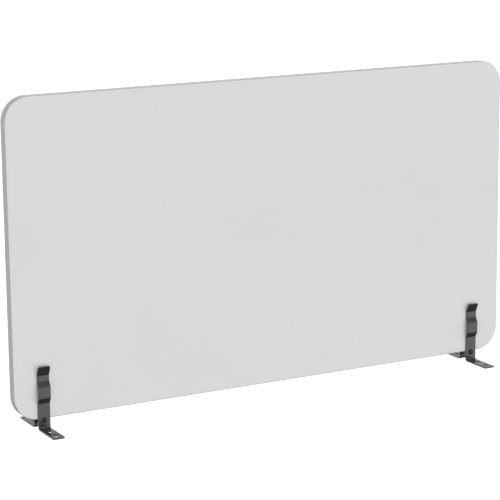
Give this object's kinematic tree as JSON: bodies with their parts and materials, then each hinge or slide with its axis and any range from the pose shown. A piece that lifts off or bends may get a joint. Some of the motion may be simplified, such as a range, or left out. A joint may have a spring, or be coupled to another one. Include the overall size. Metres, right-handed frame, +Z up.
{
  "type": "desk privacy panel",
  "caption": "Flat rounded desk privacy board held upright by bent flat-steel clips that squeeze it with a screw and stand on slotted feet on the desk top.",
  "frame": {"origin": "on the desk surface, below the middle of the board and midway between the feet's tips", "axes": "+X along the board, -Y the side the clamp screws are driven from, +Z up"},
  "size_m": [0.915, 0.136, 0.528],
  "materials": {
    "particleboard": "matt pressed particleboard, hidden inside the board",
    "laminate": "smooth matt light grey melamine",
    "edging": "smooth matt light grey edge strip",
    "bracket_steel": "charcoal semi-gloss powder coat on bent flat steel",
    "fastener_steel": "black hardware finish"
  },
  "bodies": {
    "panel": {"panel_core": "particleboard", "front_laminate": "laminate", "rear_laminate": "laminate", "edge_band": "edging"},
    "left_clip": {"left_rear_bracket": "bracket_steel", "left_nut_washer": "fastener_steel", "left_spring_washer": "fastener_steel", "left_clamp_nut": "fastener_steel"},
    "left_jaw": {"left_front_bracket": "bracket_steel", "left_head_washer": "fastener_steel"},
    "left_screw": {"left_clamp_screw": "fastener_steel"},
    "right_clip": {"right_rear_bracket": "bracket_steel", "right_nut_washer": "fastener_steel", "right_spring_washer": "fastener_steel", "right_clamp_nut": "fastener_steel"},
    "right_jaw": {"right_front_bracket": "bracket_steel", "right_head_washer": "fastener_steel"},
    "right_screw": {"right_clamp_screw": "fastener_steel"}
  },
  "joints": [
    {"name": "left_clip_slide", "type": "slide", "parent": "panel", "child": "left_clip", "axis": [1, 0, 0], "range_m": [-0.009, 0.3]},
    {"name": "left_jaw_slide", "type": "slide", "parent": "left_clip", "child": "left_jaw", "axis": [0, -1, 0], "range_m": [0, 0.003]},
    {"name": "left_screw_turn", "type": "hinge", "parent": "left_jaw", "child": "left_screw", "pos_m": [-0.4085, -0.0114, 0.0159], "axis": [0, -1, 0], "range_deg": [0, 1544]},
    {"name": "right_clip_slide", "type": "slide", "parent": "panel", "child": "right_clip", "axis": [-1, 0, 0], "range_m": [-0.015, 0.294]},
    {"name": "right_jaw_slide", "type": "slide", "parent": "right_clip", "child": "right_jaw", "axis": [0, -1, 0], "range_m": [0, 0.003]},
    {"name": "right_screw_turn", "type": "hinge", "parent": "right_jaw", "child": "right_screw", "pos_m": [0.4025, -0.0114, 0.0159], "axis": [0, -1, 0], "range_deg": [0, 1544]}
  ],
  "couplings": [
    {"joint": "left_screw_turn", "follows": "left_jaw_slide", "rad_per_m": 8976},
    {"joint": "right_screw_turn", "follows": "right_jaw_slide", "rad_per_m": 8976}
  ]
}
